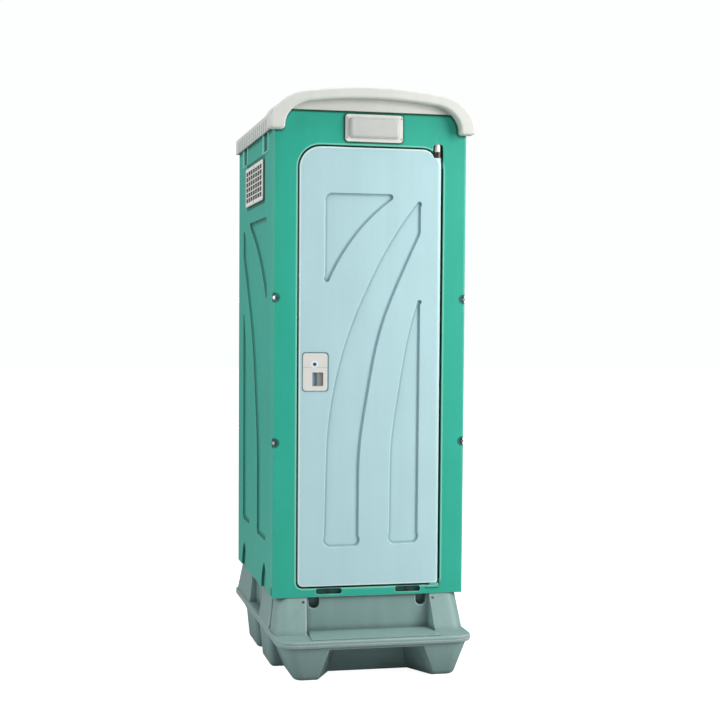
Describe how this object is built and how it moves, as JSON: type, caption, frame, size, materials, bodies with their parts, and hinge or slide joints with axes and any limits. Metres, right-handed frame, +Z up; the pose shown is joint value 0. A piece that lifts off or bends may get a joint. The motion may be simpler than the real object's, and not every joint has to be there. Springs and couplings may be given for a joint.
{
  "type": "portable_toilet_cabin",
  "caption": "Free-standing portable toilet cabin on a stepped waste tank, with a hinged door, slide lock, toilet with seat and lid, foot pump, vent pipe and arched roof.",
  "frame": {"origin": "On the ground, under the middle of the whole cabin.", "axes": "+Z up. The door faces -Y and its hinge is on the +X side."},
  "size_m": [0.938, 1.44, 2.629],
  "materials": {
    "green_plastic": "moulded panels of the cabin, in a mid sea green",
    "door_plastic": "moulded door, in a pale blue green",
    "tank_plastic": "thick moulded tank, in a dull grey green",
    "roof_plastic": "moulded roof, in a light grey that lets some light through",
    "white_plastic": "moulded fittings, in white",
    "grey_plastic": "moulded fittings, in grey",
    "dark_plastic": "pipe and small fittings, in dark grey",
    "brown_plastic": "bearing collar, in dark brown",
    "clear_lens": "frosted cover of the lamp",
    "steel": "plated steel screws, bolts, pins and plates",
    "indicator": "flag of the lock, in blue",
    "circuit_board": "board of the lamp, in white",
    "paper": "soft paper of the roll",
    "card": "card tube of the roll"
  },
  "bodies": {
    "cabin": {"waste_tank_lower": "tank_plastic", "waste_tank_upper": "tank_plastic", "floor_tray": "grey_plastic", "left_side_wall": "green_plastic", "right_side_wall": "green_plastic", "back_wall": "green_plastic", "front_frame": "green_plastic", "roof": "roof_plastic", "top_pivot_pin": "white_plastic", "bottom_pivot_pin": "steel", "bottom_pivot_boss": "green_plastic", "strike_plate": "steel", "lamp_base": "white_plastic", "lamp_lens": "clear_lens", "lamp_led_board": "circuit_board", "lamp_screws": "steel", "left_vent_grille": "white_plastic", "right_vent_grille": "white_plastic", "vent_screws": "steel", "corner_washers": "steel", "corner_bolts": "steel", "anchor_bolts": "steel", "vent_pipe": "dark_plastic", "vent_cowl": "dark_plastic", "pipe_clips": "dark_plastic", "toilet_bowl": "grey_plastic", "seat_hinge_pin": "steel", "drop_chute": "dark_plastic", "flap_hinge_pin": "steel", "cistern_body": "white_plastic", "cistern_lid": "white_plastic", "flush_pipe": "white_plastic", "pump_cylinder": "dark_plastic", "pump_cap": "dark_plastic", "pump_spring": "steel", "paper_holder": "grey_plastic", "paper_spindle": "grey_plastic", "cover_hinge_pin": "steel", "grab_rail": "white_plastic", "coat_hook": "grey_plastic", "cap_hinge_pin": "steel"},
    "door": {"door_outer_skin": "door_plastic", "door_inner_liner": "door_plastic", "top_pivot_collar": "brown_plastic", "lock_escutcheon": "white_plastic", "lock_case": "white_plastic", "door_pull": "white_plastic"},
    "lock_slider": {"lock_bolt": "grey_plastic", "lock_knob": "grey_plastic", "indicator_flag": "indicator"},
    "seat": {"toilet_seat": "white_plastic"},
    "lid": {"toilet_lid": "white_plastic"},
    "flap": {"bowl_flap": "grey_plastic"},
    "pump": {"pump_piston": "steel", "foot_pad": "dark_plastic"},
    "roll": {"paper_roll": "paper", "paper_core": "card"},
    "cover": {"paper_cover": "grey_plastic"},
    "cap": {"suction_cap": "dark_plastic"}
  },
  "joints": [
    {"name": "door_swing", "type": "hinge", "parent": "cabin", "child": "door", "pos_m": [0.31, -0.505, 1.36], "axis": [0, 0, 1], "range_deg": [0, 95]},
    {"name": "lock_slide", "type": "slide", "parent": "door", "child": "lock_slider", "axis": [-1, 0, 0], "range_m": [0, 0.02]},
    {"name": "seat_hinge", "type": "hinge", "parent": "cabin", "child": "seat", "pos_m": [0, 0.345, 0.792], "axis": [-1, 0, 0], "range_deg": [0, 90]},
    {"name": "lid_hinge", "type": "hinge", "parent": "cabin", "child": "lid", "pos_m": [0, 0.345, 0.792], "axis": [-1, 0, 0], "range_deg": [-102, 0]},
    {"name": "pump_stroke", "type": "slide", "parent": "cabin", "child": "pump", "axis": [0, 0, -1], "range_m": [0, 0.045], "stiffness_N_per_m": 300, "springref_m": -0.03, "deforming": ["pump_spring"]},
    {"name": "flap_hinge", "type": "hinge", "parent": "cabin", "child": "flap", "pos_m": [0, 0.244, 0.299], "axis": [1, 0, 0], "range_deg": [0, 60]},
    {"name": "roll_spin", "type": "hinge", "parent": "cabin", "child": "roll", "pos_m": [-0.364, -0.06, 1.076], "axis": [0, 1, 0], "continuous": true},
    {"name": "cover_lift", "type": "hinge", "parent": "cabin", "child": "cover", "pos_m": [-0.418, -0.06, 1.147], "axis": [0, -1, 0], "range_deg": [0, 70]},
    {"name": "cap_hinge", "type": "hinge", "parent": "cabin", "child": "cap", "pos_m": [0.056, 0.6505, 0.357], "axis": [0, 1, 0], "range_deg": [0, 110]}
  ],
  "couplings": [
    {"joint": "flap_hinge", "follows": "pump_stroke", "rad_per_m": 23.2}
  ]
}
